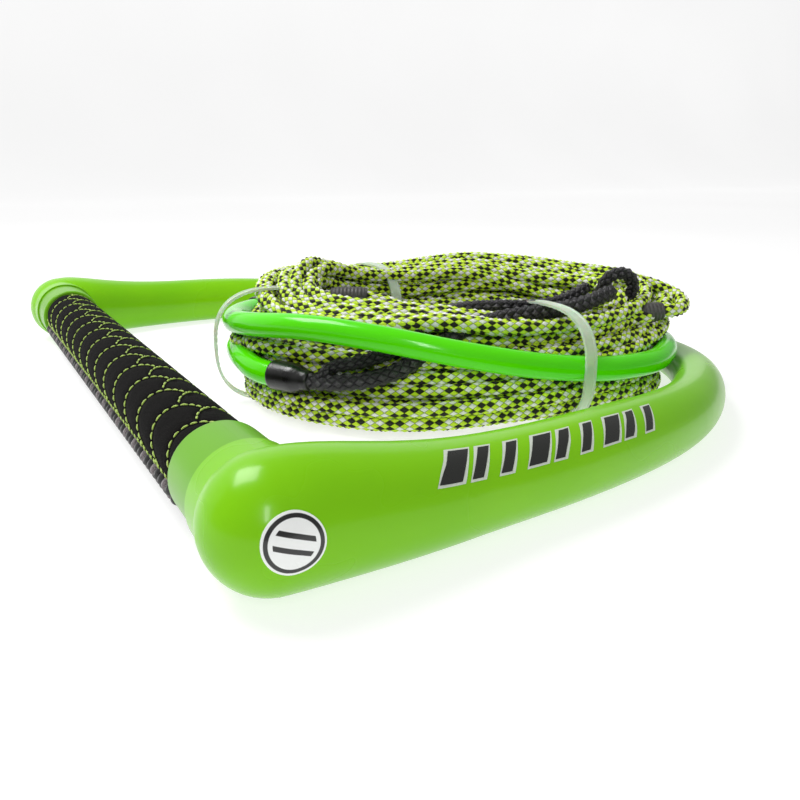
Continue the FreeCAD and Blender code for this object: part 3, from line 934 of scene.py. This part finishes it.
BADGE_FACING = (-1.2, -18.2, 2.35)
STRIPES, STRIPE_PITCH, FIRST_STRIPE, STRIPE_LEAN = 9, 10.4, 40, 7.5     # millimetres along the arm
STRIPE_LOW, STRIPE_HIGH = 32, 68                                      # degrees up the arm's side


def badge():
    """A plain round badge: a dark rim, a pale field and two dark bands."""
    s = Shader("badge", Roughness=0.25, Coat_Weight=0.5, Coat_Roughness=0.1)
    middle = BAR_MIDDLE + Vector(BADGE_FACING).normalized() * (BAR_HEIGHT / 1000)
    off = s.node("ShaderNodeVectorMath", [s.place(), tuple(middle)], operation="SUBTRACT")
    far = s.node("ShaderNodeVectorMath", [off], out=1, operation="LENGTH") * 1000.0
    split = s.node("ShaderNodeSeparateXYZ", [off])
    up = Socket(s, split.socket.node.outputs[2])
    lean = (split * 0.35 + up) * 1000.0
    rim = (far - 6.6).size().clamped(0.45, 0.6, 1.0, 0.0)
    bands = ((lean - 0.2).size() - 1.9).size().clamped(0.6, 0.75, 1.0, 0.0)
    inner = far.clamped(5.0, 5.1, 1.0, 0.0)
    ink = s.node("ShaderNodeMath", [rim, bands * inner], operation="MAXIMUM")
    s.feed("Base Color", s.mix(ink, linear(238, 240, 238), linear(24, 24, 24)))
    finish_node(s.material, "badge")


def decal():
    """A row of slanted bars with a pale edge, lying on the near arm's upper side."""
    tree = BVHTree.FromPolygons([v.co for v in NODES["float_arm_near"].data.vertices],
                                [p.vertices for p in NODES["float_arm_near"].data.polygons])
    line = np.array(NEAR_ARM)
    along = np.concatenate([[0], np.cumsum(np.linalg.norm(np.diff(line[:, :2], axis=0), axis=1))])

    def on_arm(reach, height, lift):
        """A point just off the arm's skin: distance along the arm, degrees up its outer side, and lift."""
        x, y, r = (float(np.interp(reach, along, line[:, k])) for k in range(3))
        ahead = [float(np.interp(reach + 2, along, line[:, k])) for k in range(2)]
        run = Vector((ahead[0] - x, ahead[1] - y, 0)).normalized()
        a = math.radians(height)
        way = Vector((run.y, -run.x, 0)) * math.cos(a) + Vector((0, 0, math.sin(a)))
        hit, normal, _, _ = tree.ray_cast(place(x, y, r) + way * 0.03, -way)
        return hit + normal * lift

    for layer, material, grow, lift in (("edge", DECAL_EDGE, 0.9, 0.00010), ("bars", DECAL_INK, 0.0, 0.00018)):
        verts, faces = [], []
        for k in range(STRIPES):
            start, width = FIRST_STRIPE + STRIPE_PITCH * k, 4.0 if k % 3 else 7.0
            first = len(verts)
            for i in range(7):
                t = i / 6
                height = STRIPE_LOW - 3 * grow + (STRIPE_HIGH - STRIPE_LOW + 6 * grow) * t
                for j in range(5):
                    reach = start - grow + (width + 2 * grow) * j / 4 + STRIPE_LEAN * t
                    verts.append(on_arm(reach, height, lift))
            for i in range(6):
                for j in range(4):
                    a = first + i * 5 + j
                    faces.append((a, a + 1, a + 6, a + 5))
        piece = new_piece(f"decal_{layer}", [tuple(v) for v in verts], faces, [material])
        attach(piece, "bridle")


badge()
decal()

# ---------------------------------------------------------------- stage and light


def stage():
    """A white sweep: floor and back in one sheet."""
    s = Shader("white sweep", Roughness=0.9, Emission_Color=(1, 1, 1, 1), Emission_Strength=0.72)
    tone = s.noise(1.5, 2)
    s.feed("Base Color", s.mix(tone.clamped(0.3, 0.7, 0.0, 1.0), (0.36, 0.36, 0.36), (0.4, 0.4, 0.4)))
    bend = [(-3, 0), (2.2, 0)] + [(2.2 + 0.8 * math.sin(a), 0.8 - 0.8 * math.cos(a)) for a in
                                  (math.radians(d) for d in range(10, 91, 10))] + [(3.0, 3.5)]
    verts = [(x, y, z - 0.0002) for y, z in bend for x in (-5, 5)]
    faces = [(2 * i, 2 * i + 1, 2 * i + 3, 2 * i + 2) for i in range(len(bend) - 1)]
    floor = new_piece("floor", verts, faces, [s.material])


def light():
    """An even white surrounding, a big soft key from above and a weak side lamp."""
    bpy.context.scene.view_settings.view_transform = "Standard"
    world = bpy.data.worlds.new("studio")
    bpy.context.scene.world = world
    world.use_nodes = True
    sky = world.node_tree.nodes["Background"]
    sky.inputs[0].default_value = (1, 1, 1, 1)
    sky.inputs[1].default_value = 0.36
    softbox("key", (-0.35, 0.25, 0.8), (0, 0, 0), (0.45, 0.45), 7.2)
    softbox("side", (-0.45, -0.85, 0.6), (0, -0.05, 0), (0.12, 0.4), 2.4)


stage()
light()
